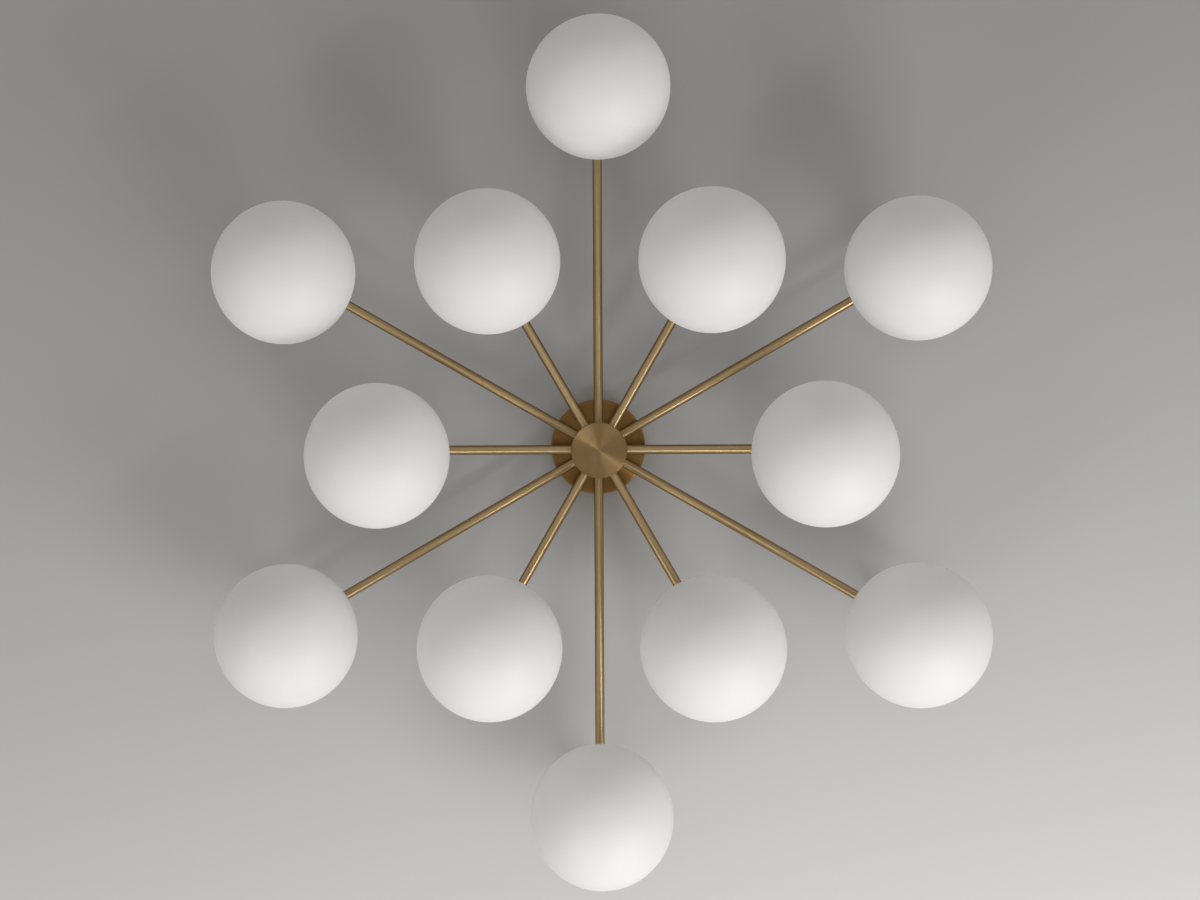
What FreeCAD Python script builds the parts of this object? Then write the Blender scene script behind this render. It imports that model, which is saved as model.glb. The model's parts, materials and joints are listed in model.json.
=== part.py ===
import FreeCAD, Part
import math
import os
import re
import Sketcher

# A flush ceiling light: a small round canopy, a turned hub and twelve straight brass arms in two tiers,
# each with an opal glass globe hung below its end. Millimetres, +Z up. The origin is the middle of the
# ceiling bracket's top face, so the whole light lies below z = 0.

ARMS_PER_TIER = 6
ARM_STEP = 360 / ARMS_PER_TIER
# Each tier: name, angle of its first arm, and the formulas for its level below the ceiling and its reach.
TIERS = (
    ("outer", ARM_STEP / 2, "outer_level", "outer_reach"),
    ("inner", 0.0, "inner_level", "inner_reach"),
)
SIDE_SCREWS = 3

# Driving dimensions, each set in its own cell.
SIZES = {
    # canopy against the ceiling
    "canopy_diameter": 104,
    "canopy_depth": 25,
    "canopy_wall": 1.5,
    "canopy_corner": 2.2,
    # steel bracket on the ceiling
    "bracket_diameter": 90,
    "bracket_thickness": 2,
    "slot_spacing": 64,
    "slot_length": 12,
    "slot_width": 5,
    "cable_hole_diameter": 14,
    "cable_hole_offset": 24,
    "tab_width": 14,
    "tab_length": 14,
    "tab_gap": 0.8,
    # screws through the canopy's side into the tabs, and the earth screw
    "side_screw_diameter": 4,
    "side_screw_head": 7,
    "side_screw_head_height": 1.5,
    "side_screw_length": 7,
    "side_screw_level": 8,
    "earth_screw_diameter": 4,
    "earth_screw_head": 8,
    "earth_screw_head_height": 2.5,
    "earth_screw_across": 26,
    "earth_screw_along": 20,
    # threaded stem and its nuts
    "stem_diameter": 10,
    "stem_bore": 7,
    "stem_stand_out": 2,
    "nut_across": 14,
    "nut_thickness": 3,
    # hub
    "hub_neck_diameter": 26,
    "hub_neck_length": 6,
    "hub_diameter": 56,
    "hub_wall": 4,
    "hub_top": 5,
    "hub_chamfer": 1,
    "tier_margin": 14,
    "tier_spacing": 30,
    # front disc of the hub, with the spigot that holds it in the hub
    "cap_diameter": 60,
    "cap_thickness": 4,
    "cap_chamfer": 0.8,
    "spigot_length": 5,
    "spigot_wall": 3.5,
    # arms
    "outer_reach": 381,
    "inner_reach": 230,
    "arm_diameter": 10,
    "arm_wall": 1,
    "arm_stand_in": 1,
    "lock_nut_gap": 0.05,
    # lampholder cup at the end of each arm
    "cup_diameter": 38,
    "cup_wall": 3,
    "cup_drop": 26.4,
    "cup_head": 9,
    "cup_corner": 2.8,
    # opal globe
    "globe_diameter": 150,
    "globe_wall": 3,
    "globe_neck_length": 10,
    # lampholder and what hangs it in the cup
    "holder_diameter": 20,
    "holder_height": 22,
    "holder_drop": 8,
    "standoff_diameter": 8,
    "stud_diameter": 4,
    "stud_grip": 6,
    "dome_nut_diameter": 9,
    "dome_nut_height": 5,
    # two-pin capsule bulb
    "bulb_diameter": 18,
    "bulb_length": 50,
    "bulb_base_diameter": 16,
    "bulb_base_length": 12,
    "pin_diameter": 1.5,
    "pin_length": 8,
    "pin_spacing": 9,
    # wiring
    "lead_diameter": 4,
    "lead_gap": 0.5,
    "feed_diameter": 5,
    "feed_straight": 4,
    "connector_diameter": 24,
    "connector_margin": 4,
    "connector_groove": 1,
    "block_length": 30,
    "block_width": 17,
    "block_height": 13,
    "block_hole": 3.2,
    # clearances
    "thread_gap": 0.05,
    "fit_gap": 0.3,
    "seat_gap": 0.3,
}

# Lengths that follow from the driving dimensions. Levels count downwards from the ceiling.
DERIVED = {
    "canopy_bore": "canopy_diameter / 2 - canopy_wall",
    "tab_face": "canopy_bore - tab_gap",
    "stem_top_level": "canopy_depth - canopy_wall - nut_thickness - stem_stand_out",
    "hub_level": "canopy_depth + hub_neck_length",
    "hub_ceiling_level": "hub_level + hub_top",
    "hub_nut_level": "hub_ceiling_level + nut_thickness",
    "stem_end_level": "hub_nut_level + stem_stand_out",
    "outer_level": "hub_level + tier_margin",
    "inner_level": "outer_level + tier_spacing",
    "hub_rim_level": "inner_level + tier_margin",
    "hub_bore": "hub_diameter / 2 - hub_wall",
    "nut_corner": "nut_across / sqrt(3)",
    "lock_nut_face": "sqrt(hub_bore^2 - nut_corner^2) - lock_nut_gap",
    "arm_start": "lock_nut_face - nut_thickness - arm_stand_in",
    "cup_bore": "cup_diameter / 2 - cup_wall",
    "cup_ceiling": "cup_head - cup_wall",
    "globe_radius": "globe_diameter / 2",
    "globe_inside": "globe_diameter / 2 - globe_wall",
    "globe_shoulder": "sqrt(globe_radius^2 - cup_bore^2)",
    "globe_drop": "cup_drop + seat_gap + globe_shoulder",
    "neck_radius": "cup_bore - fit_gap",
    "neck_inside": "neck_radius - globe_wall",
    "neck_top": "globe_shoulder + seat_gap + globe_neck_length",
    "bulb_drop": "holder_drop + holder_height + seat_gap",
    "dome_nut_radius": "dome_nut_diameter / 2",
    "dome_rise": "dome_nut_height / 2",
    "dome_bore": "stud_diameter / 2 + thread_gap",
    "stud_end": "cup_head + dome_rise",
    "lead_offset": "standoff_diameter / 2 + lead_gap + lead_diameter / 2",
    "feed_level": "bracket_thickness + block_height / 2",
    "feed_bend": "stem_top_level - feed_level",
    "block_start": "feed_bend + feed_straight",
    "connector_length": "inner_level + connector_margin - stem_end_level",
}

document = FreeCAD.newDocument("CeilingLight")
sheet = document.addObject("Spreadsheet::Sheet", "Sizes")
for row, (size_name, size_value) in enumerate(SIZES.items(), start=1):
    cell = "A" + str(row)
    sheet.set(cell, str(size_value))
    sheet.setAlias(cell, size_name)
document.recompute()


# ---------------------------------------------------------------- formulas, sketches and features

def formula(text):
    """A formula of size names, as an expression on the sheet's cells."""
    def cell_or_length(match):
        name = match.group(0)
        if name in SIZES:
            return "Sizes." + name
        if name in DERIVED:
            return "(" + formula(DERIVED[name]) + ")"
        return name
    return re.sub(r"[a-z][a-z_]+", cell_or_length, str(text))


def number(text):
    """The present value of a formula."""
    value = sheet.evalExpression(formula(text))
    return float(getattr(value, "Value", value))


def new_body(name):
    body = document.addObject("PartDesign::Body", name)
    body.Label = name
    return body


def new_sketch(body, name, plane):
    sketch = body.newObject("Sketcher::SketchObject", body.Name + "_" + name)
    origin_plane = [item for item in body.Origin.OriginFeatures if item.Role == plane][0]
    sketch.AttachmentSupport = (origin_plane, [""])
    sketch.MapMode = "FlatFace"
    return sketch


def constrain(sketch, kind, references, size):
    """One dimension of a sketch, bound to its formula."""
    index = sketch.addConstraint(Sketcher.Constraint(kind, *references, number(size)))
    sketch.setExpression("Constraints[" + str(index) + "]", formula(size))


def arc_between(start, end, radius, turn):
    """The short arc from start to end; turn 1 goes round anticlockwise, turn -1 clockwise."""
    chord = end - start
    middle = (start + end) * 0.5
    height = math.sqrt(max(radius ** 2 - (chord.Length / 2) ** 2, 0.0))
    normal = FreeCAD.Vector(-chord.y, chord.x, 0) * (1 / chord.Length)
    centre = middle + normal * (height * turn)
    first, last = (start, end) if turn > 0 else (end, start)
    angles = [math.atan2(point.y - centre.y, point.x - centre.x) for point in (first, last)]
    if angles[1] < angles[0]:
        angles[1] += 2 * math.pi
    circle = Part.Circle(centre, FreeCAD.Vector(0, 0, 1), radius)
    return Part.ArcOfCircle(circle, angles[0], angles[1])


def draw_outline(sketch, corners, closed=True):
    """Lines and arcs through corners. Each corner is (across, up), or (across, up, radius, turn) where
    an arc of that radius leaves it for the next corner. Every corner is fixed by its two formulas."""
    points = [FreeCAD.Vector(number(corner[0]), number(corner[1]), 0) for corner in corners]
    edges = []
    for place in range(len(corners) if closed else len(corners) - 1):
        start = points[place]
        end = points[(place + 1) % len(points)]
        if len(corners[place]) == 2:
            index = sketch.addGeometry(Part.LineSegment(start, end), False)
            edges.append((index, 1, 2))
            continue
        radius, turn = corners[place][2:]
        index = sketch.addGeometry(arc_between(start, end, number(radius), turn), False)
        edges.append((index, 1, 2) if turn > 0 else (index, 2, 1))
    for place, (index, first, last) in enumerate(edges):
        constrain(sketch, "DistanceX", (-1, 1, index, first), corners[place][0])
        constrain(sketch, "DistanceY", (-1, 1, index, first), corners[place][1])
        if place > 0 or closed:
            before = edges[place - 1]
            sketch.addConstraint(Sketcher.Constraint("Coincident", before[0], before[2], index, first))
    if not closed:
        constrain(sketch, "DistanceX", (-1, 1, edges[-1][0], edges[-1][2]), corners[-1][0])
        constrain(sketch, "DistanceY", (-1, 1, edges[-1][0], edges[-1][2]), corners[-1][1])
    for place, (index, first, last) in enumerate(edges):
        if len(corners[place]) > 2:
            constrain(sketch, "Radius", (index,), corners[place][2])


def draw_circle(sketch, across, up, radius):
    centre = FreeCAD.Vector(number(across), number(up), 0)
    circle = Part.Circle(centre, FreeCAD.Vector(0, 0, 1), number(radius))
    index = sketch.addGeometry(circle, False)
    constrain(sketch, "DistanceX", (-1, 1, index, 3), across)
    constrain(sketch, "DistanceY", (-1, 1, index, 3), up)
    constrain(sketch, "Radius", (index,), radius)


def draw_hexagon(sketch, corner_radius):
    """A hexagon about the sketch's origin, with two corners on its X axis."""
    corners = []
    for corner in range(6):
        angle = str(60 * corner)
        corners.append(("({}) * cos({})".format(corner_radius, angle),
                        "({}) * sin({})".format(corner_radius, angle)))
    draw_outline(sketch, corners)


def revolve(body, name, corners, plane="XZ_Plane", axis="V_Axis"):
    sketch = new_sketch(body, name, plane)
    draw_outline(sketch, corners)
    feature = body.newObject("PartDesign::Revolution", body.Name + "_" + name + "_turned")
    feature.Profile = sketch
    feature.ReferenceAxis = (sketch, [axis])
    feature.Angle = 360
    return feature


def pad(body, sketch, length, backwards=False, both_ways=False):
    feature = body.newObject("PartDesign::Pad", sketch.Name + "_pad")
    feature.Profile = sketch
    feature.setExpression("Length", formula(length))
    feature.Reversed = backwards
    feature.Midplane = both_ways
    return feature


def pocket(body, sketch, length, backwards=False):
    feature = body.newObject("PartDesign::Pocket", sketch.Name + "_pocket")
    feature.Profile = sketch
    feature.setExpression("Length", formula(length))
    feature.Reversed = backwards
    return feature


def repeat_round(body, feature, copies):
    """Copies of a feature, evenly round the body's Z axis."""
    axis = [item for item in body.Origin.OriginFeatures if item.Role == "Z_Axis"][0]
    pattern = body.newObject("PartDesign::PolarPattern", feature.Name + "_round")
    pattern.Originals = [feature]
    pattern.Axis = (axis, [""])
    pattern.Angle = 360
    pattern.Occurrences = copies
    body.Tip = pattern
    return pattern


def place(item, across="0", along="0", height="0", angle=0.0):
    """Put an item at (across, along, height), turned by angle about +Z."""
    turned = FreeCAD.Rotation(FreeCAD.Vector(0, 0, 1), angle)
    start = FreeCAD.Vector(number(across), number(along), number(height))
    item.Placement = FreeCAD.Placement(start, turned)
    item.setExpression("Placement.Base.x", formula(across))
    item.setExpression("Placement.Base.y", formula(along))
    item.setExpression("Placement.Base.z", formula(height))
    return item


def place_on_ray(item, angle, reach, drop):
    """Put an item on the ray at angle, at a distance from the light's axis and a drop from the ceiling."""
    across = "({}) * cos({})".format(reach, angle)
    along = "({}) * sin({})".format(reach, angle)
    return place(item, across, along, "-({})".format(drop), angle)


def group(name, members):
    """Separate solids that share one node."""
    compound = document.addObject("Part::Compound", name)
    compound.Label = name
    compound.Links = members
    return compound


# ---------------------------------------------------------------- ceiling bracket, canopy and stem

def make_bracket():
    """A round plate on the ceiling with two slots, a cable hole and three bent tabs."""
    body = new_body("ceiling_bracket")
    plate = new_sketch(body, "plate", "XY_Plane")
    draw_circle(plate, "0", "0", "bracket_diameter / 2")
    pad(body, plate, "bracket_thickness", backwards=True)

    # Each tab is a tongue that leaves the plate's edge and turns down inside the canopy.
    tab = new_sketch(body, "tab", "YZ_Plane")
    draw_outline(tab, (
        ("bracket_diameter / 2 - tab_width / 2", "0"),
        ("bracket_diameter / 2 - tab_width / 2", "-bracket_thickness"),
        ("tab_face - bracket_thickness", "-bracket_thickness"),
        ("tab_face - bracket_thickness", "-tab_length"),
        ("tab_face", "-tab_length"),
        ("tab_face", "0"),
    ))
    tongue = pad(body, tab, "tab_width", both_ways=True)
    repeat_round(body, tongue, SIDE_SCREWS)
    hole = new_sketch(body, "tab_hole", "XZ_Plane")
    draw_circle(hole, "0", "-side_screw_level", "side_screw_diameter / 2")
    drilled = pocket(body, hole, "canopy_diameter / 2")
    repeat_round(body, drilled, SIDE_SCREWS)

    holes = new_sketch(body, "plate_holes", "XY_Plane")
    for side in ("-", ""):
        near = side + "(slot_spacing / 2) - (slot_length - slot_width) / 2"
        far = side + "(slot_spacing / 2) + (slot_length - slot_width) / 2"
        draw_outline(holes, (
            (near, "-slot_width / 2"),
            (far, "-slot_width / 2", "slot_width / 2", 1),
            (far + " + slot_width / 2", "0", "slot_width / 2", 1),
            (far, "slot_width / 2"),
            (near, "slot_width / 2", "slot_width / 2", 1),
            (near + " - slot_width / 2", "0", "slot_width / 2", 1),
        ))
    draw_circle(holes, "0", "-cable_hole_offset", "cable_hole_diameter / 2")
    draw_circle(holes, "-earth_screw_across", "earth_screw_along", "earth_screw_diameter / 2")
    pocket(body, holes, "bracket_thickness")
    return body


def make_bracket_screws():
    """Three low round-headed screws through the canopy's side, and the earth screw under the plate."""
    members = []
    for index in range(SIDE_SCREWS):
        screw = new_body("side_screw_" + str(index + 1))
        revolve(screw, "outline", (
            ("0", "0"),
            ("0", "side_screw_diameter / 2"),
            ("side_screw_length", "side_screw_diameter / 2"),
            ("side_screw_length", "side_screw_head / 2"),
            ("side_screw_length + side_screw_head_height", "side_screw_head / 2"),
            ("side_screw_length + side_screw_head_height", "0"),
        ), axis="H_Axis")
        angle = 90 + index * 360 / SIDE_SCREWS
        place_on_ray(screw, angle, "canopy_diameter / 2 - side_screw_length", "side_screw_level")
        members.append(screw)
    earth = new_body("earth_screw")
    revolve(earth, "outline", (
        ("0", "bracket_thickness + earth_screw_head_height"),
        ("0", "0"),
        ("earth_screw_head / 2", "0"),
        ("earth_screw_head / 2", "earth_screw_head_height"),
        ("earth_screw_diameter / 2", "earth_screw_head_height"),
        ("earth_screw_diameter / 2", "bracket_thickness + earth_screw_head_height"),
    ))
    place(earth, "-earth_screw_across", "earth_screw_along",
          "-bracket_thickness - earth_screw_head_height")
    members.append(earth)
    return group("bracket_screws", members)


def make_canopy():
    """A spun brass cup with its flat face down, a hole for the stem and three side screw holes."""
    body = new_body("canopy")
    revolve(body, "shell", (
        ("stem_diameter / 2", "-canopy_depth"),
        ("canopy_diameter / 2 - canopy_corner", "-canopy_depth", "canopy_corner", 1),
        ("canopy_diameter / 2", "-canopy_depth + canopy_corner"),
        ("canopy_diameter / 2", "0"),
        ("canopy_bore", "0"),
        ("canopy_bore", "-canopy_depth + canopy_corner", "canopy_corner - canopy_wall", -1),
        ("canopy_diameter / 2 - canopy_corner", "-canopy_depth + canopy_wall"),
        ("stem_diameter / 2", "-canopy_depth + canopy_wall"),
    ))
    hole = new_sketch(body, "side_hole", "XZ_Plane")
    draw_circle(hole, "0", "-side_screw_level", "side_screw_diameter / 2")
    drilled = pocket(body, hole, "canopy_diameter")
    repeat_round(body, drilled, SIDE_SCREWS)
    return body


def make_stem():
    """The hollow threaded stem from the canopy into the hub."""
    body = new_body("threaded_stem")
    ring = new_sketch(body, "ring", "XY_Plane")
    draw_circle(ring, "0", "0", "stem_diameter / 2")
    draw_circle(ring, "0", "0", "stem_bore / 2")
    pad(body, ring, "stem_end_level - stem_top_level")
    return place(body, height="-stem_end_level")


def make_nut(name, bore, plane):
    """A hexagonal nut, its axis square to the sketch plane."""
    body = new_body(name)
    hexagon = new_sketch(body, "hexagon", plane)
    draw_hexagon(hexagon, "nut_corner")
    draw_circle(hexagon, "0", "0", bore)
    pad(body, hexagon, "nut_thickness")
    return body


def make_stem_nuts():
    canopy_nut = make_nut("canopy_nut", "stem_diameter / 2", "XY_Plane")
    place(canopy_nut, height="-canopy_depth + canopy_wall")
    hub_nut = make_nut("hub_nut", "stem_diameter / 2", "XY_Plane")
    place(hub_nut, height="-hub_nut_level")
    return group("stem_nuts", [canopy_nut, hub_nut])


# ---------------------------------------------------------------- hub

def make_hub():
    """A turned cup with a neck, open below, with a ring of arm holes for each tier."""
    body = new_body("hub_body")
    revolve(body, "shell", (
        ("stem_diameter / 2", "-canopy_depth"),
        ("stem_diameter / 2", "-hub_ceiling_level"),
        ("hub_bore", "-hub_ceiling_level"),
        ("hub_bore", "-hub_rim_level"),
        ("hub_diameter / 2", "-hub_rim_level"),
        ("hub_diameter / 2", "-hub_level - hub_chamfer"),
        ("hub_diameter / 2 - hub_chamfer", "-hub_level"),
        ("hub_neck_diameter / 2", "-hub_level"),
        ("hub_neck_diameter / 2", "-canopy_depth"),
    ))
    # The outer tier's holes start on the Y axis and the inner tier's on the X axis, half a step apart.
    for tier, plane in (("outer", "XZ_Plane"), ("inner", "YZ_Plane")):
        hole = new_sketch(body, tier + "_arm_hole", plane)
        draw_circle(hole, "0", "-" + tier + "_level", "arm_diameter / 2")
        drilled = pocket(body, hole, "hub_diameter")
        repeat_round(body, drilled, ARMS_PER_TIER)
    return body


def make_cap():
    """The front disc, with a chamfered rim and a spigot that fits in the hub."""
    body = new_body("hub_cap")
    revolve(body, "disc", (
        ("0", "-hub_rim_level"),
        ("0", "-hub_rim_level - cap_thickness"),
        ("cap_diameter / 2 - cap_chamfer", "-hub_rim_level - cap_thickness"),
        ("cap_diameter / 2", "-hub_rim_level - cap_thickness + cap_chamfer"),
        ("cap_diameter / 2", "-hub_rim_level"),
        ("hub_bore - fit_gap", "-hub_rim_level"),
        ("hub_bore - fit_gap", "-hub_rim_level + spigot_length"),
        ("hub_bore - fit_gap - spigot_wall", "-hub_rim_level + spigot_length"),
        ("hub_bore - fit_gap - spigot_wall", "-hub_rim_level"),
    ))
    return body


# ---------------------------------------------------------------- one arm and what hangs from it

def make_arm(name, angle, level, reach):
    """A brass tube from inside the hub to just inside the cup's cavity."""
    body = new_body(name)
    ring = new_sketch(body, "ring", "YZ_Plane")
    draw_circle(ring, "0", "0", "arm_diameter / 2")
    draw_circle(ring, "0", "0", "arm_diameter / 2 - arm_wall")
    pad(body, ring, reach + " - cup_bore + arm_stand_in - arm_start")
    return place_on_ray(body, angle, "arm_start", level)


def make_cup(name, angle, level, reach):
    """A turned cup, open below, with the arm's hole in its side and the stud's hole in its top."""
    body = new_body(name)
    revolve(body, "shell", (
        ("stud_diameter / 2", "cup_head"),
        ("stud_diameter / 2", "cup_ceiling"),
        ("cup_bore", "cup_ceiling"),
        ("cup_bore", "-cup_drop"),
        ("cup_diameter / 2", "-cup_drop"),
        ("cup_diameter / 2", "cup_head - cup_corner", "cup_corner", 1),
        ("cup_diameter / 2 - cup_corner", "cup_head"),
    ))
    hole = new_sketch(body, "arm_hole", "YZ_Plane")
    draw_circle(hole, "0", "0", "arm_diameter / 2")
    pocket(body, hole, "cup_diameter")
    return place_on_ray(body, angle, reach, level)


def make_globe(name, angle, level, reach):
    """A hollow glass ball with a short neck that goes up into the cup."""
    body = new_body(name)
    revolve(body, "shell", (
        ("0", "-globe_radius", "globe_radius", 1),
        ("neck_radius", "sqrt(globe_radius^2 - neck_radius^2)"),
        ("neck_radius", "neck_top"),
        ("neck_inside", "neck_top"),
        ("neck_inside", "sqrt(globe_inside^2 - neck_inside^2)", "globe_inside", -1),
        ("0", "-globe_inside"),
    ))
    return place_on_ray(body, angle, reach, level + " + globe_drop")


def make_bulb(name, angle, level, reach):
    """A capsule bulb on a round base, with two pins."""
    body = new_body(name)
    revolve(body, "capsule", (
        ("0", "0"),
        ("0", "-bulb_length", "bulb_diameter / 2", 1),
        ("bulb_diameter / 2", "-bulb_length + bulb_diameter / 2"),
        ("bulb_diameter / 2", "-bulb_base_length"),
        ("bulb_base_diameter / 2", "-bulb_base_length"),
        ("bulb_base_diameter / 2", "0"),
    ))
    pins = new_sketch(body, "pins", "XY_Plane")
    for side in ("-", ""):
        draw_circle(pins, side + "pin_spacing / 2", "0", "pin_diameter / 2")
    pad(body, pins, "pin_length")
    return place_on_ray(body, angle, reach, level + " + bulb_drop")


def make_holder(name, angle, level, reach):
    """A ceramic holder with a hole for its stud and two pin holes."""
    body = new_body(name)
    revolve(body, "barrel", (
        ("stud_diameter / 2", "0"),
        ("stud_diameter / 2", "-stud_grip"),
        ("0", "-stud_grip"),
        ("0", "-holder_height"),
        ("holder_diameter / 2", "-holder_height"),
        ("holder_diameter / 2", "0"),
    ))
    pins = new_sketch(body, "pin_holes", "XY_Plane")
    for side in ("-", ""):
        draw_circle(pins, side + "pin_spacing / 2", "0", "pin_diameter / 2 + fit_gap")
    # The holes run up from the lower face for the pins' length and one gap.
    pins.AttachmentOffset = FreeCAD.Placement(FreeCAD.Vector(0, 0, -number("holder_height")),
                                              FreeCAD.Rotation())
    pins.setExpression("AttachmentOffset.Base.z", formula("-holder_height"))
    pocket(body, pins, "pin_length + seat_gap", backwards=True)
    return place_on_ray(body, angle, reach, level + " + holder_drop")


def make_fixings(name, angle, level, reach):
    """The stand-off stud between cup and holder, and the dome nut on top of the cup."""
    stud = new_body(name + "_stud")
    revolve(stud, "outline", (
        ("0", "-holder_drop - stud_grip"),
        ("stud_diameter / 2", "-holder_drop - stud_grip"),
        ("stud_diameter / 2", "-holder_drop"),
        ("standoff_diameter / 2", "-holder_drop"),
        ("standoff_diameter / 2", "cup_ceiling"),
        ("stud_diameter / 2", "cup_ceiling"),
        ("stud_diameter / 2", "stud_end"),
        ("0", "stud_end"),
    ))
    nut = new_body(name + "_dome_nut")
    revolve(nut, "outline", (
        ("dome_bore", "cup_head"),
        ("dome_nut_radius", "cup_head"),
        ("dome_nut_radius", "stud_end", "(dome_nut_radius^2 + dome_rise^2) / (2 * dome_rise)", 1),
        ("0", "stud_end + dome_rise"),
        ("0", "stud_end + thread_gap"),
        ("dome_bore", "stud_end + thread_gap"),
    ))
    return [place_on_ray(item, angle, reach, level) for item in (stud, nut)]


def make_lead(name, angle, level, reach):
    """A round lead from the hub's connector, through the arm, bent down onto the holder."""
    body = new_body(name)
    section = new_sketch(body, "section", "YZ_Plane")
    draw_circle(section, "0", "0", "lead_diameter / 2")
    route = new_sketch(body, "route", "XZ_Plane")
    run = "(" + reach + " - lead_offset - connector_diameter / 2)"
    draw_outline(route, (
        ("0", "0"),
        (run + " - holder_drop", "0", "holder_drop", -1),
        (run, "-holder_drop"),
    ), closed=False)
    pipe = body.newObject("PartDesign::AdditivePipe", name + "_pipe")
    pipe.Profile = section
    pipe.Spine = (route, [])
    return place_on_ray(body, angle, "connector_diameter / 2", level)


# ---------------------------------------------------------------- wiring in the canopy and the hub

def make_terminal_blocks():
    """The mains block under the bracket, and the round connector at the stem's lower end."""
    block = new_body("mains_block")
    plan = new_sketch(block, "plan", "XY_Plane")
    draw_outline(plan, (
        ("-block_length / 2", "0"),
        ("block_length / 2", "0"),
        ("block_length / 2", "block_width"),
        ("-block_length / 2", "block_width"),
    ))
    pad(block, plan, "block_height", backwards=True)
    ways = new_sketch(block, "ways", "XZ_Plane")
    for across in ("-block_length / 3", "0", "block_length / 3"):
        draw_circle(ways, across, "-block_height / 2", "block_hole / 2")
    pocket(block, ways, "block_width")
    place(block, along="block_start", height="-bracket_thickness")

    connector = new_body("hub_connector")
    revolve(connector, "drum", (
        ("0", "0"),
        ("connector_diameter / 2", "0"),
        ("connector_diameter / 2", "-connector_length / 2 + connector_groove"),
        ("connector_diameter / 2 - connector_groove", "-connector_length / 2"),
        ("connector_diameter / 2", "-connector_length / 2 - connector_groove"),
        ("connector_diameter / 2", "-connector_length"),
        ("0", "-connector_length"),
    ))
    place(connector, height="-stem_end_level")
    return group("terminal_blocks", [block, connector])


def make_feed_lead():
    """The lead from the mains block, bent down through the stem to the connector."""
    body = new_body("feed_lead")
    section = new_sketch(body, "section", "XY_Plane")
    draw_circle(section, "0", "0", "feed_diameter / 2")
    route = new_sketch(body, "route", "YZ_Plane")
    draw_outline(route, (
        ("0", "0"),
        ("0", "stem_end_level - stem_top_level", "feed_bend", -1),
        ("feed_bend", "stem_end_level - feed_level"),
        ("block_start", "stem_end_level - feed_level"),
    ), closed=False)
    pipe = body.newObject("PartDesign::AdditivePipe", "feed_lead_pipe")
    pipe.Profile = section
    pipe.Spine = (route, [])
    return place(body, height="-stem_end_level")


# ---------------------------------------------------------------- the whole light

def make_light():
    """Every sub-part, one for each node."""
    subparts = [make_bracket(), make_bracket_screws(), make_canopy(), make_stem(), make_stem_nuts(),
                make_hub(), make_cap(), make_terminal_blocks()]
    lock_nuts = []
    holders = []
    fixings = []
    leads = [make_feed_lead()]
    for tier, first_angle, level, reach in TIERS:
        for index in range(ARMS_PER_TIER):
            angle = first_angle + index * ARM_STEP
            tag = "_" + str(index + 1)
            subparts.append(make_arm(tier + "_arm" + tag, angle, level, reach))
            subparts.append(make_cup(tier + "_cup" + tag, angle, level, reach))
            subparts.append(make_globe(tier + "_globe" + tag, angle, level, reach))
            subparts.append(make_bulb(tier + "_bulb" + tag, angle, level, reach))
            nut = make_nut(tier + "_lock_nut" + tag, "arm_diameter / 2", "YZ_Plane")
            lock_nuts.append(place_on_ray(nut, angle, "lock_nut_face - nut_thickness", level))
            holders.append(make_holder(tier + "_holder" + tag, angle, level, reach))
            fixings.extend(make_fixings(tier + "_fixing" + tag, angle, level, reach))
            leads.append(make_lead(tier + "_lead" + tag, angle, level, reach))
    subparts.append(group("arm_lock_nuts", lock_nuts))
    subparts.append(group("lampholders", holders))
    subparts.append(group("holder_fixings", fixings))
    subparts.append(group("wiring_leads", leads))
    return subparts


light = make_light()
document.recompute()

failed = [item.Name for item in document.Objects if "Invalid" in item.State or "Error" in item.State]
if failed:
    raise RuntimeError("failed to build: " + ", ".join(failed))
for subpart in light:
    if subpart.Shape.isNull() or not subpart.Shape.isValid():
        raise RuntimeError("no valid solid: " + subpart.Label)

os.makedirs("parts", exist_ok=True)
for subpart in light:
    subpart.Shape.exportStep("parts/" + subpart.Label + ".step")
    box = subpart.Shape.BoundBox
    print("{:18} solids {:2} volume {:9.0f} mm3, z {:7.1f} to {:6.1f}".format(
        subpart.Label, len(subpart.Shape.Solids), subpart.Shape.Volume, box.ZMin, box.ZMax))
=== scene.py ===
import json
import math

import bmesh
import bpy
from mathutils import Euler, Matrix, Vector


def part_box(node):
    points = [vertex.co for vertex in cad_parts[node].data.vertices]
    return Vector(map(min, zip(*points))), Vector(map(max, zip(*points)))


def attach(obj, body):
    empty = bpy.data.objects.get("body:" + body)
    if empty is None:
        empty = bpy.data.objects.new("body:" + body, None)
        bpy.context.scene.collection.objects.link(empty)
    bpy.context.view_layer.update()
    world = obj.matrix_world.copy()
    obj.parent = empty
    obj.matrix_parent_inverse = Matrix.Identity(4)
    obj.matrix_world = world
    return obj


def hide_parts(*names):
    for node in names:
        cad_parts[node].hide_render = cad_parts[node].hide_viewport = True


# The looks of a flush ceiling light: twelve opal glass globes on straight aged brass arms in two tiers.
# Metres, +Z up to the ceiling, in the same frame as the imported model. Profiles are given in millimetres.

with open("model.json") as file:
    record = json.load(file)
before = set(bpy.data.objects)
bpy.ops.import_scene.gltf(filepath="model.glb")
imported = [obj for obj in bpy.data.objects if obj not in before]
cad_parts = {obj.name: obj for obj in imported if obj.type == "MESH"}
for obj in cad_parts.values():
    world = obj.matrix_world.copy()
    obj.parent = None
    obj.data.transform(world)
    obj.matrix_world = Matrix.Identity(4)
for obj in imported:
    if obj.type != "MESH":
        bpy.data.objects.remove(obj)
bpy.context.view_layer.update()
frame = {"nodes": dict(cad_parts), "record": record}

MM = 0.001
TIERS = ("outer", "inner")
ARMS_PER_TIER = 6
SIDE_SCREWS = 3
CONNECTOR_SCREWS = 6

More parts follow.
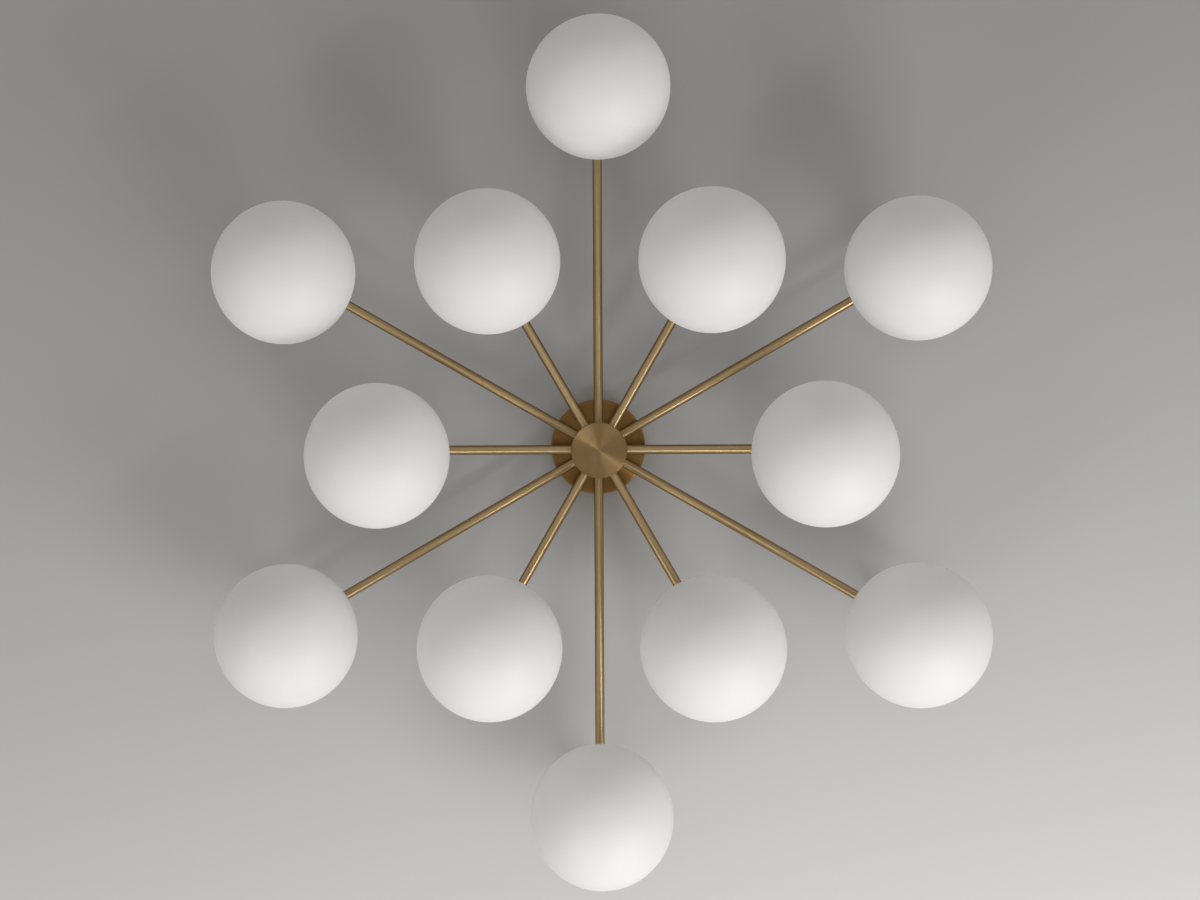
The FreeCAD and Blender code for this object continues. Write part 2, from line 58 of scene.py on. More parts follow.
# Sizes in millimetres. Heights at an arm's end count from the arm's axis.
GLOBE_RADIUS = 75.0
GLOBE_WALL = 3.0
NECK_LENGTH = 10.0
NECK_THREAD = 0.7
NECK_PITCH = 3.0
CUP_RADIUS = 19.0
CUP_BORE = 16.0
CUP_TOP = 9.0
CUP_CEILING = 6.0
CUP_RIM = -26.4
CUP_CORNER = 2.8
CUP_GROOVES = (CUP_RIM + 2.9, CUP_RIM + 4.3, -8.4)
CUP_TOP_GROOVE = 9.0
ARM_RADIUS = 5.0
ARM_BORE = 4.0
ARM_INTO_CUP = 1.0
ARM_THREAD = 0.35
ARM_THREAD_PAST_HUB = 1.5
STUD_RADIUS = 2.0
STUD_THREAD = 0.28
STANDOFF_RADIUS = 4.0
STUD_FOOT = -14.0
DOME_NUT_RADIUS = 4.5
DOME_NUT_TOP = 14.0
DOME_RISE = 2.5
HOLDER_RADIUS = 10.0
HOLDER_TOP = -8.0
HOLDER_FOOT = -30.0
PIN_RADIUS = 0.75
PIN_LENGTH = 8.0
PINS_APART = 9.0
BULB_RADIUS = 9.0
BULB_LENGTH = 50.0
BULB_BASE_RADIUS = 8.0
BULB_BASE_LENGTH = 12.0
FLUTES = 18
FLUTE_DEPTH = 0.35
CAP_RADIUS = 30.0
CAP_THICKNESS = 4.0
CAP_CHAMFER = 0.8
SPIGOT_RADIUS = 23.7
SPIGOT_WALL = 3.5
SPIGOT_LENGTH = 5.0
SPIGOT_THREAD = 0.45
SPIGOT_PITCH = 1.2
NUT_ACROSS = 14.0
NUT_THICKNESS = 3.0
NUT_CHAMFER = 0.75
HUB_BORE = 24.0
LOCK_NUT_GAP = 0.05
STEM_RADIUS = 5.0
STEM_BORE = 3.5
STEM_THREAD = 0.4
CANOPY_RADIUS = 52.0
SIDE_SCREW_LEVEL = -8.0
SIDE_SCREW_LENGTH = 7.0
SIDE_SCREW_HEAD = 3.5
SIDE_SCREW_HEAD_HEIGHT = 1.5
EARTH_SCREW_PLACE = (-26.0, 20.0)
CONNECTOR_SCREW_RING = 7.6
SCREW_PITCH = 0.7
TUBE_PITCH = 1.0
SEAT_GAP = 0.3

# The stage, in metres.
CEILING_HALF_WIDTH = 6.0
CEILING_GAP = 0.0006
LAMP_DISTANCE = 2.5


# ---------------------------------------------------------------- meshes

def smooth(mesh, smooth_angle=35.0):
    """Faces shaded smooth, except across edges sharper than smooth_angle."""
    work = bmesh.new()
    work.from_mesh(mesh)
    bmesh.ops.remove_doubles(work, verts=work.verts, dist=1e-7)
    bmesh.ops.recalc_face_normals(work, faces=work.faces)
    limit = math.radians(smooth_angle)
    for face in work.faces:
        face.smooth = True
    for edge in work.edges:
        edge.smooth = len(edge.link_faces) == 2 and edge.calc_face_angle(0.0) < limit
    work.to_mesh(mesh)
    work.free()


def mesh_object(name, vertices, faces, smooth_angle=35.0):
    mesh = bpy.data.meshes.new(name)
    mesh.from_pydata([tuple(value * MM for value in vertex) for vertex in vertices], [], faces)
    mesh.validate()
    smooth(mesh, smooth_angle)
    item = bpy.data.objects.new(name, mesh)
    bpy.context.scene.collection.objects.link(item)
    return item


def arc(centre, radius, start, end, steps):
    """Points on a circle, angles in degrees from the profile's outward axis."""
    points = []
    for step in range(steps + 1):
        angle = math.radians(start + (end - start) * step / steps)
        points.append((centre[0] + radius * math.cos(angle), centre[1] + radius * math.sin(angle)))
    return points


def lathe_data(profile, segments, axis="Z", shape=None):
    """Vertices and faces of a closed profile of (radius, height) turned about an axis. shape may move a
    point's radius, from its radius, height and angle."""
    vertices = []
    rings = []
    for radius, height in profile:
        if radius < 1e-6:
            rings.append([len(vertices)] * segments)
            vertices.append((0.0, 0.0, height))
            continue
        rings.append(list(range(len(vertices), len(vertices) + segments)))
        for segment in range(segments):
            angle = 2 * math.pi * segment / segments
            moved = shape(radius, height, angle) if shape else radius
            vertices.append((moved * math.cos(angle), moved * math.sin(angle), height))
    faces = []
    for index, ring in enumerate(rings):
        following = rings[(index + 1) % len(rings)]
        for segment in range(segments):
            beside = (segment + 1) % segments
            corners = [ring[segment], ring[beside], following[beside], following[segment]]
            face = list(dict.fromkeys(corners))
            if len(face) > 2:
                faces.append(face)
    if axis == "X":
        vertices = [(z, x, y) for x, y, z in vertices]
    return vertices, faces


def lathe(name, profile, segments=64, axis="Z", smooth_angle=35.0, shape=None):
    vertices, faces = lathe_data(profile, segments, axis, shape)
    return mesh_object(name, vertices, faces, smooth_angle)


def thread(radius, depth, pitch, low, high):
    """A screw thread for a lathe: a ridge of that depth on a wall of that radius, between two heights."""
    def shaped(here, height, angle):
        if abs(here - radius) > 1e-6 or height <= low or height >= high:
            return here
        turn = (height - low) / pitch - angle / (2 * math.pi)
        ridge = 0.5 + 0.5 * math.cos(2 * math.pi * turn)
        fade = min(1.0, (height - low) / (0.6 * pitch), (high - height) / (0.6 * pitch))
        return here + depth * ridge * fade
    return shaped


def rows(radius, low, high, step):
    """Points up a straight wall, from low to high, close enough to carry a thread."""
    count = max(2, round((high - low) / step))
    return [(radius, low + (high - low) * index / count) for index in range(count + 1)]


def combine(item, other, operation, smooth_angle=35.0):
    """Cut, keep or add the space of another closed mesh, which is then deleted."""
    change = item.modifiers.new("shape", "BOOLEAN")
    change.operation = operation
    change.solver = "EXACT"
    change.object = other
    bpy.context.view_layer.update()
    shaped = item.evaluated_get(bpy.context.evaluated_depsgraph_get())
    mesh = bpy.data.meshes.new_from_object(shaped)
    item.modifiers.clear()
    old = [item.data, other.data]
    item.data = mesh
    bpy.data.objects.remove(other)
    for unused in old:
        bpy.data.meshes.remove(unused)
    smooth(mesh, smooth_angle)
    return item


def block(name, low, high):
    """A plain box between two corners, for cutting."""
    corners = [(x, y, z) for x in (low[0], high[0]) for y in (low[1], high[1]) for z in (low[2], high[2])]
    faces = [(0, 1, 3, 2), (4, 6, 7, 5), (0, 4, 5, 1), (2, 3, 7, 6), (0, 2, 6, 4), (1, 5, 7, 3)]
    return mesh_object(name, corners, faces)


def joined(name, parts):
    """One object from several, each moved by its own placement first."""
    work = bmesh.new()
    for part in parts:
        piece = part.data.copy()
        piece.transform(part.matrix_basis)
        work.from_mesh(piece)
        bpy.data.meshes.remove(piece)
    mesh = bpy.data.meshes.new(name)
    work.to_mesh(mesh)
    work.free()
    meshes = {part.data for part in parts}
    for part in parts:
        bpy.data.objects.remove(part)
    for old in meshes:
        bpy.data.meshes.remove(old)
    item = bpy.data.objects.new(name, mesh)
    bpy.context.scene.collection.objects.link(item)
    return item


def copied(item, name):
    """Another object with the same mesh."""
    twin = bpy.data.objects.new(name, item.data)
    bpy.context.scene.collection.objects.link(twin)
    return twin


def put(item, place, turn=0.0):
    """Place an item at a point in metres, turned about +Z by an angle in degrees."""
    item.matrix_basis = Matrix.Translation(place) @ Matrix.Rotation(math.radians(turn), 4, "Z")
    return item


def dressed(item, material, body, slot, *nodes):
    """Give a piece its material and its body, and hide the model's nodes that it stands for. slot is not
    used.
    """
    item.data.materials.clear()
    item.data.materials.append(material)
    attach(item, body)
    if nodes:
        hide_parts(*nodes)
    return item


# ---------------------------------------------------------------- materials

def new_material(name):
    material = bpy.data.materials.new(name)
    material.use_nodes = True
    tree = material.node_tree
    shader = tree.nodes["Principled BSDF"]
    return material, tree, shader


def add_node(tree, kind, inputs=None, **settings):
    """A node with its settings and inputs; an input that is a socket is linked."""
    item = tree.nodes.new(kind)
    for key, value in settings.items():
        setattr(item, key, value)
    for key, value in (inputs or {}).items():
        if isinstance(value, bpy.types.NodeSocket):
            tree.links.new(value, item.inputs[key])
        else:
            item.inputs[key].default_value = value
    return item


def calculate(tree, operation, first, second=0.0):
    return add_node(tree, "ShaderNodeMath", {0: first, 1: second}, operation=operation).outputs[0]


def blend_colours(tree, share, first, second):
    mixed = add_node(tree, "ShaderNodeMix", data_type="RGBA")
    for socket, value in ((mixed.inputs[0], share), (mixed.inputs[6], first), (mixed.inputs[7], second)):
        if isinstance(value, bpy.types.NodeSocket):
            tree.links.new(value, socket)
        else:
            socket.default_value = value
    return mixed.outputs[2]


def spread(tree, value, low, high, new_low, new_high):
    """A value in low..high carried to new_low..new_high, held at the ends."""
    return add_node(tree, "ShaderNodeMapRange", {
        "Value": value, "From Min": low, "From Max": high, "To Min": new_low, "To Max": new_high,
    }).outputs[0]


def noise(tree, vector, scale, detail=3.0, roughness=0.55):
    return add_node(tree, "ShaderNodeTexNoise", {
        "Vector": vector, "Scale": scale, "Detail": detail, "Roughness": roughness,
    }).outputs[0]


def stretched(tree, vector, scale):
    return add_node(tree, "ShaderNodeMapping", {"Vector": vector, "Scale": scale}).outputs[0]


def grey(value):
    return (value, value, value, 1.0)


def brass(name, light, dark, brush, roughness, anisotropy, age, relief):
    """Aged brass, finely marked by its tool. brush is face for circles about Z on a flat face, side for level
    lines on a turned side, or tube for circles about X."""
    material, tree, shader = new_material(name)
    coords = add_node(tree, "ShaderNodeTexCoord").outputs["Object"]
    if brush == "tube":
        marks = coords
    else:
        parts = add_node(tree, "ShaderNodeSeparateXYZ", {0: coords}).outputs
        ruler = parts[2]
        if brush == "face":
            across = calculate(tree, "MULTIPLY", parts[0], parts[0])
            along = calculate(tree, "MULTIPLY", parts[1], parts[1])
            ruler = calculate(tree, "SQRT", calculate(tree, "ADD", across, along))
        marks = add_node(tree, "ShaderNodeCombineXYZ", {0: ruler, 1: parts[0], 2: parts[1]}).outputs[0]
    lines = noise(tree, stretched(tree, marks, (2400, 20, 20)), 1.0, 4.0, 0.7)
    broad = noise(tree, stretched(tree, marks, (160, 12, 12)), 1.0, 2.0)
    tarnish = noise(tree, coords, 38.0, 5.0, 0.62)
    fine_weight, broad_weight, contrast = 0.45, 0.25, 0.18
    share = calculate(tree, "ADD", calculate(tree, "MULTIPLY", lines, fine_weight),
                      calculate(tree, "MULTIPLY", broad, broad_weight))
    share = calculate(tree, "ADD", share, calculate(tree, "MULTIPLY", tarnish, age))
    middle = 0.5 * (fine_weight + broad_weight + age)
    share = spread(tree, share, middle - contrast, middle + contrast, 0.0, 1.0)
    colour = blend_colours(tree, share, dark + (1.0,), light + (1.0,))
    tree.links.new(colour, shader.inputs["Base Color"])
    rough = spread(tree, share, 0.0, 1.0, roughness + 0.15 * age, roughness - 0.15 * age)
    tree.links.new(rough, shader.inputs["Roughness"])
    bump = add_node(tree, "ShaderNodeBump", {"Height": lines, "Strength": relief, "Distance": 0.00001})
    tree.links.new(bump.outputs[0], shader.inputs["Normal"])
    shader.inputs["Metallic"].default_value = 1.0
    shader.inputs["Specular Tint"].default_value = (0.3, 0.22, 0.14, 1.0)
    if anisotropy:
        # The tangent runs along the circles. A quarter turn stretches each highlight across them.
        tangent = add_node(tree, "ShaderNodeTangent", direction_type="RADIAL",
                           axis="X" if brush == "tube" else "Z")
        tree.links.new(tangent.outputs[0], shader.inputs["Tangent"])
        shader.inputs["Anisotropic"].default_value = anisotropy
        shader.inputs["Anisotropic Rotation"].default_value = 0.25
    return material


def opal_glass(name):
    """Satin opal white glass: white through its wall, with a faint unevenness and a soft surface."""
    material, tree, shader = new_material(name)
    coords = add_node(tree, "ShaderNodeTexCoord").outputs["Object"]
    cloud = noise(tree, coords, 9.0, 3.0, 0.5)
    fine = noise(tree, coords, 420.0, 2.0, 0.5)
    colour = blend_colours(tree, spread(tree, cloud, 0.3, 0.7, 0.0, 1.0),
                           (0.82, 0.815, 0.795, 1.0), (0.86, 0.858, 0.845, 1.0))
    tree.links.new(colour, shader.inputs["Base Color"])
    tree.links.new(spread(tree, fine, 0.3, 0.7, 0.42, 0.52), shader.inputs["Roughness"])
    bump = add_node(tree, "ShaderNodeBump", {"Height": fine, "Strength": 0.12, "Distance": 0.00002})
    tree.links.new(bump.outputs[0], shader.inputs["Normal"])
    shader.inputs["IOR"].default_value = 1.5
    shader.inputs["Specular IOR Level"].default_value = 0.35
    shader.inputs["Subsurface Weight"].default_value = 0.5
    shader.inputs["Subsurface Radius"].default_value = (0.012, 0.012, 0.011)
    shader.inputs["Subsurface Scale"].default_value = 1.0
    return material


def plain(name, light, dark, scale, roughness, metallic):
    """A mottled surface for moulded, glazed or plated pieces."""
    material, tree, shader = new_material(name)
    coords = add_node(tree, "ShaderNodeTexCoord").outputs["Object"]
    cloud = noise(tree, coords, scale, 4.0, 0.6)
    fine = noise(tree, coords, scale * 9.0, 2.0, 0.5)
    colour = blend_colours(tree, spread(tree, cloud, 0.3, 0.7, 0.0, 1.0), dark + (1.0,), light + (1.0,))
    tree.links.new(colour, shader.inputs["Base Color"])
    tree.links.new(spread(tree, fine, 0.3, 0.7, roughness - 0.05, roughness + 0.07),
                   shader.inputs["Roughness"])
    bump = add_node(tree, "ShaderNodeBump", {"Height": fine, "Strength": 0.3, "Distance": 0.00002})
    tree.links.new(bump.outputs[0], shader.inputs["Normal"])
    shader.inputs["Metallic"].default_value = metallic
    return material


# Lighter and darker colour, brush, roughness, anisotropy, tarnish and relief.
BRASSES = {
    "spun_brass": ((0.38, 0.22, 0.075), (0.30, 0.165, 0.05), "face", 0.42, 1.0, 0.3, 0.2),
    "brushed_brass_face": ((0.38, 0.25, 0.12), (0.31, 0.20, 0.09), "face", 0.42, 1.0, 0.15, 0.2),
    "turned_brass": ((0.40, 0.255, 0.115), (0.29, 0.175, 0.07), "side", 0.32, 0.6, 0.3, 0.2),
    "tube_brass": ((0.52, 0.375, 0.20), (0.43, 0.30, 0.15), "tube", 0.28, 1.0, 0.1, 0.05),
    "nut_brass": ((0.62, 0.45, 0.2), (0.48, 0.33, 0.13), "side", 0.28, 0.0, 0.3, 0.2),
}
# Lighter and darker colour, mottling per metre, roughness and metallic.
PLAINS = {
    "bulb_glass": ((0.88, 0.87, 0.82), (0.82, 0.81, 0.76), 60.0, 0.35, 0.0),
    "ceramic": ((0.84, 0.83, 0.79), (0.78, 0.77, 0.72), 90.0, 0.22, 0.0),
    "zinc_steel": ((0.62, 0.63, 0.65), (0.45, 0.46, 0.49), 110.0, 0.36, 1.0),
    "screw_steel": ((0.5, 0.38, 0.2), (0.36, 0.26, 0.12), 160.0, 0.32, 1.0),
    "white_plastic": ((0.82, 0.82, 0.79), (0.77, 0.77, 0.74), 150.0, 0.45, 0.0),
    "lead_sheath": ((0.74, 0.74, 0.71), (0.68, 0.68, 0.66), 200.0, 0.5, 0.0),
}
MATERIALS = {slot: brass(slot, *values) for slot, values in BRASSES.items()}
MATERIALS["opal_glass"] = opal_glass("opal_glass")
MATERIALS.update({slot: plain(slot, *values) for slot, values in PLAINS.items()})


# ---------------------------------------------------------------- pieces at each arm

def station(tier, number):
    """The cup's axis on the arm's level, and the arm's direction in degrees."""
    low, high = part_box("{}_cup_{}".format(tier, number))
    place = Vector(((low[0] + high[0]) / 2, (low[1] + high[1]) / 2, high[2] - CUP_TOP * MM))
    return place, math.degrees(math.atan2(place.y, place.x))


STATIONS = [(tier, number) + station(tier, number)
            for tier in TIERS for number in range(1, ARMS_PER_TIER + 1)]


def at_stations(master, name, material, slot, node=None, body=None, lift=0.0, turned=True):
    """Copies of one piece at every arm's end, turned with the arm unless they are round. name, node and body
    may hold the tier and the number."""
    for tier, number, place, angle in STATIONS:
        item = copied(master, name.format(tier, number))
        put(item, place + Vector((0, 0, lift * MM)), angle if turned else 0.0)
        nodes = [node.format(tier, number)] if node else []
        dressed(item, material, (body or "light").format(tier, number), slot, *nodes)
    bpy.data.objects.remove(master)


def globe_shoulder():
    return math.sqrt(GLOBE_RADIUS ** 2 - CUP_BORE ** 2)


def make_globes():
    """Hollow glass balls with a short neck that carries a rounded glass thread."""
    crest = CUP_BORE - SEAT_GAP
    root = crest - NECK_THREAD
    inside = GLOBE_RADIUS - GLOBE_WALL
    throat = crest - GLOBE_WALL
    neck_foot = math.sqrt(GLOBE_RADIUS ** 2 - crest ** 2) + 0.4
    top = globe_shoulder() + SEAT_GAP + NECK_LENGTH
    outer_end = math.degrees(math.acos(crest / GLOBE_RADIUS))
    inner_end = math.degrees(math.acos(throat / inside))
    profile = arc((0, 0), GLOBE_RADIUS, -90, outer_end, 72)
    profile += rows(root, neck_foot, top - 0.5, 0.35)
    profile += [(root - 0.4, top), (throat + 0.5, top), (throat, top - 0.5)]
    profile += arc((0, 0), inside, inner_end, -90, 36)
    profile[0] = (0.0, -GLOBE_RADIUS)
    profile[-1] = (0.0, -inside)
    master = lathe("globe", profile, 128, smooth_angle=50.0,
                   shape=thread(root, NECK_THREAD, NECK_PITCH, neck_foot + 0.2, top - 0.8))
    drop = CUP_RIM - SEAT_GAP - globe_shoulder()
    at_stations(master, "{}_opal_globe_{}", MATERIALS["opal_glass"], "opal_glass",
                "{}_globe_{}", "{}_globe_{}", drop, False)


def make_cups():
    """Turned cups with fine grooves, a bead between the two at the rim, and a hole for the arm."""
    ease = 0.35
    lead_in = 0.8
    clearance = 0.1
    wall_top, wall_foot = CUP_CEILING - 2 * lead_in, CUP_RIM + 1.0
    profile = [(STUD_RADIUS + clearance, CUP_TOP), (STUD_RADIUS + clearance, CUP_CEILING),
               (CUP_BORE - lead_in, CUP_CEILING), (CUP_BORE, CUP_CEILING - lead_in), (CUP_BORE, wall_top),
               (CUP_BORE, (wall_top + wall_foot) / 2), (CUP_BORE, wall_foot), (CUP_BORE + ease, CUP_RIM),
               (CUP_RADIUS - ease, CUP_RIM), (CUP_RADIUS, CUP_RIM + ease)]
    depth, half_width, half_floor = 0.4, 0.35, 0.15
    for groove in CUP_GROOVES:
        profile += [(CUP_RADIUS, groove - half_width), (CUP_RADIUS - depth, groove - half_floor),
                    (CUP_RADIUS - depth, groove + half_floor), (CUP_RADIUS, groove + half_width)]
    profile += arc((CUP_RADIUS - CUP_CORNER, CUP_TOP - CUP_CORNER), CUP_CORNER, 0, 90, 8)
    profile += [(CUP_TOP_GROOVE + 0.4, CUP_TOP), (CUP_TOP_GROOVE + 0.2, CUP_TOP - 0.3),
                (CUP_TOP_GROOVE - 0.2, CUP_TOP - 0.3), (CUP_TOP_GROOVE - 0.4, CUP_TOP)]
    master = lathe("cup", profile, 96)
    outside, inside = -CUP_RADIUS - 5.0, -CUP_BORE / 2
    hole = lathe("hole", [(0, outside), (ARM_RADIUS, outside), (ARM_RADIUS, inside), (0, inside)], 48, "X")
    combine(master, hole, "DIFFERENCE")
    at_stations(master, "{}_holder_cup_{}", MATERIALS["turned_brass"], "turned_brass", "{}_cup_{}")


def tube_ends(tier, number, place, angle):
    """Where an arm starts and stops on its ray, in millimetres."""
    low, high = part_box("{}_arm_{}".format(tier, number))
    direction = Vector((math.cos(math.radians(angle)), math.sin(math.radians(angle))))
    across = (high[0] - low[0]) / MM - 2 * ARM_RADIUS * abs(direction.y)
    along = (high[1] - low[1]) / MM - 2 * ARM_RADIUS * abs(direction.x)
    far = place.to_2d().length / MM - CUP_BORE + ARM_INTO_CUP
    return far - math.hypot(across, along), far


def make_arms():
    """Straight tubes with eased ends, threaded inside the hub for their lock nuts."""
    ease = 0.3
    root = ARM_RADIUS - ARM_THREAD
    screwed = HUB_BORE + ARM_THREAD_PAST_HUB
    for tier in TIERS:
        group = [entry for entry in STATIONS if entry[0] == tier]
        near, far = tube_ends(*group[0])
        profile = [(ARM_BORE, near), (root, near)] + rows(root, near + ease, screwed, 0.2)
        profile += [(ARM_RADIUS, screwed + ease), (ARM_RADIUS, far - ease), (ARM_RADIUS - ease, far),
                    (ARM_BORE, far)]
        master = lathe("arm", profile, 48, "X",
                       shape=thread(root, ARM_THREAD, TUBE_PITCH, near + ease, screwed))
        for _, number, place, angle in group:
            item = copied(master, "{}_brass_arm_{}".format(tier, number))
            put(item, Vector((0, 0, place.z)), angle)
            dressed(item, MATERIALS["tube_brass"], "light", "tube_brass", "{}_arm_{}".format(tier, number))
        bpy.data.objects.remove(master)


def make_bulbs():
    """Frosted capsules on a fluted base with two round pins."""
    foot = -BULB_LENGTH + BULB_RADIUS
    neck = -BULB_BASE_LENGTH
    profile = arc((0, foot), BULB_RADIUS, -90, 0, 18)
    profile[0] = (0.0, -BULB_LENGTH)
    profile += [(BULB_RADIUS, neck - 1.6), (BULB_RADIUS - 0.3, neck - 0.6),
                (BULB_BASE_RADIUS - 0.4, neck - 0.1), (0.0, neck - 0.1)]
    drop = HOLDER_FOOT - SEAT_GAP
    at_stations(lathe("capsule", profile, 64), "{}_bulb_capsule_{}", MATERIALS["bulb_glass"], "bulb_glass",
                "{}_bulb_{}", "{}_bulb_{}", drop)

    def fluted(radius, height, angle):
        if radius < BULB_BASE_RADIUS - 0.05 or not neck + 2.0 < height < -2.0:
            return radius
        return radius - FLUTE_DEPTH + FLUTE_DEPTH * math.cos(FLUTES * angle)

    profile = [(0.0, neck - 0.05), (BULB_BASE_RADIUS - 0.4, neck - 0.05), (BULB_BASE_RADIUS, neck + 0.4)]
    profile += rows(BULB_BASE_RADIUS, neck + 1.9, -1.9, 1.35)
    profile += [(BULB_BASE_RADIUS, -0.4), (BULB_BASE_RADIUS - 0.4, 0.0), (0.0, 0.0)]
    at_stations(lathe("base", profile, 8 * FLUTES, shape=fluted), "{}_bulb_base_{}", MATERIALS["ceramic"],
                "ceramic", "{}_bulb_{}", "{}_bulb_{}", drop)

    tip = PIN_LENGTH - PIN_RADIUS
    profile = [(0.0, -0.5), (PIN_RADIUS, -0.5)]
    profile += arc((0, tip), PIN_RADIUS, 0, 90, 6)[:-1] + [(0.0, PIN_LENGTH)]
    pins = []
    for side in (-1, 1):
        pin = lathe("pin", profile, 20)
        pin.matrix_basis = Matrix.Translation((side * PINS_APART / 2 * MM, 0, 0))
        pins.append(pin)
    at_stations(joined("pins", pins), "{}_bulb_pins_{}", MATERIALS["zinc_steel"], "zinc_steel",
                "{}_bulb_{}", "{}_bulb_{}", drop)


def make_holders():
    """Glazed ceramic barrels with eased edges, a waist line and two pin holes."""
    ease = 0.7
    waist = (HOLDER_TOP + HOLDER_FOOT) / 2
    profile = [(0.0, HOLDER_FOOT), (HOLDER_RADIUS - ease, HOLDER_FOOT)]
    profile += arc((HOLDER_RADIUS - ease, HOLDER_FOOT + ease), ease, -90, 0, 4)[1:]
    profile += [(HOLDER_RADIUS, waist - 0.8), (HOLDER_RADIUS - 0.5, waist - 0.4),
                (HOLDER_RADIUS - 0.5, waist + 0.4), (HOLDER_RADIUS, waist + 0.8)]
    profile += arc((HOLDER_RADIUS - ease, HOLDER_TOP - ease), ease, 0, 90, 4)
    profile += [(STUD_RADIUS + 0.3, HOLDER_TOP), (STUD_RADIUS, HOLDER_TOP - 0.3),
                (STUD_RADIUS, STUD_FOOT - 0.1), (0.0, STUD_FOOT - 0.1)]
    master = lathe("holder", profile, 64)
    mouth, bore = PIN_RADIUS + 0.9, PIN_RADIUS + 0.3
    low, high = HOLDER_FOOT - 1.0, HOLDER_FOOT + PIN_LENGTH + SEAT_GAP
    for side in (-1, 1):
        hole = lathe("hole", [(0, low), (mouth, low), (bore, HOLDER_FOOT + 0.6), (bore, high), (0, high)], 24)
        hole.matrix_basis = Matrix.Translation((side * PINS_APART / 2 * MM, 0, 0))
        combine(master, hole, "DIFFERENCE")
    at_stations(master, "{}_ceramic_holder_{}", MATERIALS["ceramic"], "ceramic", "lampholders")


def make_fixings():
    """A slotted dome nut on each cup, and below it the threaded stud with its stand-off."""
    profile = [(0.0, CUP_TOP), (DOME_NUT_RADIUS - 0.3, CUP_TOP), (DOME_NUT_RADIUS, CUP_TOP + 0.3),
               (DOME_NUT_RADIUS, CUP_TOP + 1.0), (DOME_NUT_RADIUS - 0.3, CUP_TOP + 1.2),
               (DOME_NUT_RADIUS - 0.3, CUP_TOP + 1.4), (DOME_NUT_RADIUS, CUP_TOP + 1.6)]
    ball = (DOME_NUT_RADIUS ** 2 + DOME_RISE ** 2) / (2 * DOME_RISE)
    start = math.degrees(math.acos(DOME_NUT_RADIUS / ball))
    profile += arc((0, DOME_NUT_TOP - ball), ball, start, 90, 8)[:-1] + [(0.0, DOME_NUT_TOP)]
    nut = lathe("dome_nut", profile, 48)
    slot_half = 0.55
    slot = block("slot", (-2 * DOME_NUT_RADIUS, -slot_half, DOME_NUT_TOP - 1.1),
                 (2 * DOME_NUT_RADIUS, slot_half, DOME_NUT_TOP + 1))
    combine(nut, slot, "DIFFERENCE")
    at_stations(nut, "{}_dome_nut_{}", MATERIALS["nut_brass"], "nut_brass", "holder_fixings")
    root = STUD_RADIUS - 0.3
    profile = [(0.0, STUD_FOOT), (root, STUD_FOOT)] + rows(root, STUD_FOOT + 0.2, HOLDER_TOP - 0.1, 0.18)
    profile += [(STANDOFF_RADIUS - 0.3, HOLDER_TOP), (STANDOFF_RADIUS, HOLDER_TOP + 0.3),
                (STANDOFF_RADIUS, CUP_CEILING - 0.3), (STANDOFF_RADIUS - 0.3, CUP_CEILING),
                (root, CUP_CEILING), (root, CUP_TOP - 0.05), (0.0, CUP_TOP - 0.05)]
    stud = lathe("stud", profile, 32,
                 shape=thread(root, STUD_THREAD, SCREW_PITCH, STUD_FOOT + 0.2, HOLDER_TOP - 0.1))
    at_stations(stud, "{}_stand_off_{}", MATERIALS["nut_brass"], "nut_brass", "holder_fixings")


# ---------------------------------------------------------------- hub, stem and ceiling pieces

def make_nut(name, axis="Z"):
    """A hexagonal nut with both faces chamfered, from height 0, with two corners on its first cross axis."""
    corner = NUT_ACROSS / math.sqrt(3)
    face = NUT_ACROSS / 2 - 0.2
    rim = corner + 0.1
    lead_in = 0.4
    ring = [(STEM_RADIUS + lead_in, 0), (face, 0), (rim, NUT_CHAMFER), (rim, NUT_THICKNESS - NUT_CHAMFER),
            (face, NUT_THICKNESS), (STEM_RADIUS + lead_in, NUT_THICKNESS),
            (STEM_RADIUS, NUT_THICKNESS - lead_in), (STEM_RADIUS, lead_in)]
    nut = lathe(name, ring, 96, axis)
    low, high = -1.0, NUT_THICKNESS + 1.0
    hexagon = lathe("hexagon", [(0, low), (corner, low), (corner, high), (0, high)], 6, axis)
    return combine(nut, hexagon, "INTERSECT", 25.0)


def make_lock_nuts():
    """The nuts that hold the arms inside the hub."""
    corner = NUT_ACROSS / math.sqrt(3)
    face = math.sqrt(HUB_BORE ** 2 - corner ** 2) - LOCK_NUT_GAP
    master = make_nut("lock_nut", "X")
    for tier, number, place, angle in STATIONS:
        item = copied(master, "{}_lock_nut_{}".format(tier, number))
        way = Vector((math.cos(math.radians(angle)), math.sin(math.radians(angle)), 0))
        put(item, way * (face - NUT_THICKNESS) * MM + Vector((0, 0, place.z)), angle)
        dressed(item, MATERIALS["nut_brass"], "light", "nut_brass", "arm_lock_nuts")
    bpy.data.objects.remove(master)


def make_stem():
    """The hollow threaded stem with its two nuts."""
    low, high = [corner[2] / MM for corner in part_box("threaded_stem")]
    root = STEM_RADIUS - STEM_THREAD
    profile = [(STEM_BORE, low), (root, low)] + rows(root, low + 0.3, high - 0.3, 0.22)
    profile += [(root, high), (STEM_BORE, high)]
    stem = lathe("stem_tube", profile, 48,
                 shape=thread(root, STEM_THREAD, TUBE_PITCH, low + 0.3, high - 0.3))
    dressed(stem, MATERIALS["zinc_steel"], "light", "zinc_steel", "threaded_stem")
    low, high = [corner[2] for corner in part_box("stem_nuts")]
    for name, height in (("hub_nut", low), ("canopy_nut", high - NUT_THICKNESS * MM)):
        nut = put(make_nut(name), (0, 0, height))
        dressed(nut, MATERIALS["zinc_steel"], "light", "zinc_steel", "stem_nuts")


